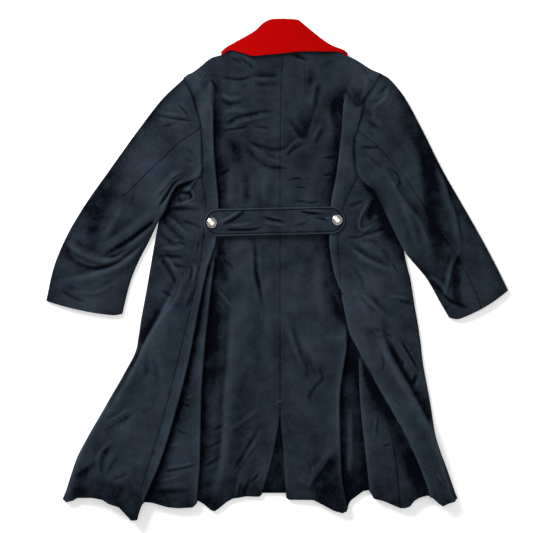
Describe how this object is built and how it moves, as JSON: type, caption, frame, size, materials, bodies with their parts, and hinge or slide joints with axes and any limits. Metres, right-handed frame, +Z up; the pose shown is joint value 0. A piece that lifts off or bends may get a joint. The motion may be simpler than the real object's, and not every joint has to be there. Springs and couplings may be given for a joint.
{
  "type": "military greatcoat, laid flat",
  "caption": "Dark wool military greatcoat lying flat on its front, with red collar, pleated and vented back, set-in sleeves and a buttoned half belt.",
  "frame": {"origin": "bottom centre of the bounding box, on the surface that the coat lies on", "axes": "+Y from the hem to the collar, +X to the right of the coat as seen from above, +Z up from the surface"},
  "size_m": [1.1074, 1.196, 0.0319],
  "materials": {
    "wool": "napped melton, matt",
    "collar_wool": "napped melton, matt",
    "button_metal": "polished dome"
  },
  "bodies": {
    "root": {"back_left": "wool", "back_right": "wool", "vent_underlap": "wool", "side_left": "wool", "side_right": "wool", "front_left": "wool", "front_right": "wool", "sleeve_top_left": "wool", "sleeve_under_left": "wool", "sleeve_top_right": "wool", "sleeve_under_right": "wool", "half_belt": "wool", "collar_fall": "collar_wool", "collar_stand": "collar_wool", "button_left": "button_metal", "button_right": "button_metal"}
  },
  "joints": []
}
